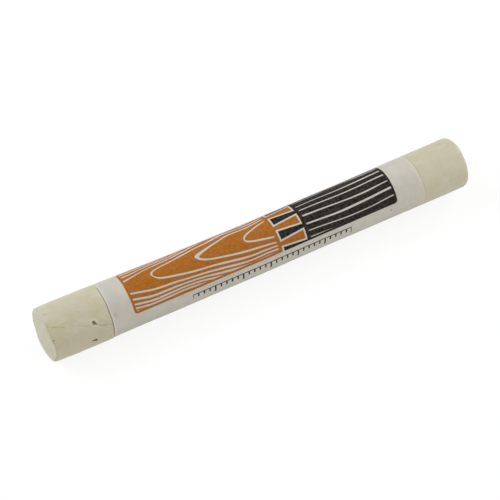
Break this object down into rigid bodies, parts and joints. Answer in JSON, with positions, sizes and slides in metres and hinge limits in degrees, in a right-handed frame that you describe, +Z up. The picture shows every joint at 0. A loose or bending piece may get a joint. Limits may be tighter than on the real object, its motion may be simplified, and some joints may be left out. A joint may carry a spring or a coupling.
{
  "type": "furniture repair wax stick",
  "caption": "Round cast wax crayon for filling scratches in furniture, bare at both ends, with a paper label wound round its middle.",
  "frame": {"origin": "on the surface that the stick lies on, below the middle of its length and its axis", "axes": "+X along the stick from its closer, flat end to its far end, +Z up from the surface that it lies on"},
  "size_m": [0.0944, 0.0112, 0.0112],
  "materials": {
    "wax": "matte",
    "label": "matte",
    "adhesive": "satin"
  },
  "bodies": {
    "root": {"wax_stick": "wax", "label_paper": "label", "tack_strip": "adhesive", "lap_strip": "adhesive"}
  },
  "joints": []
}
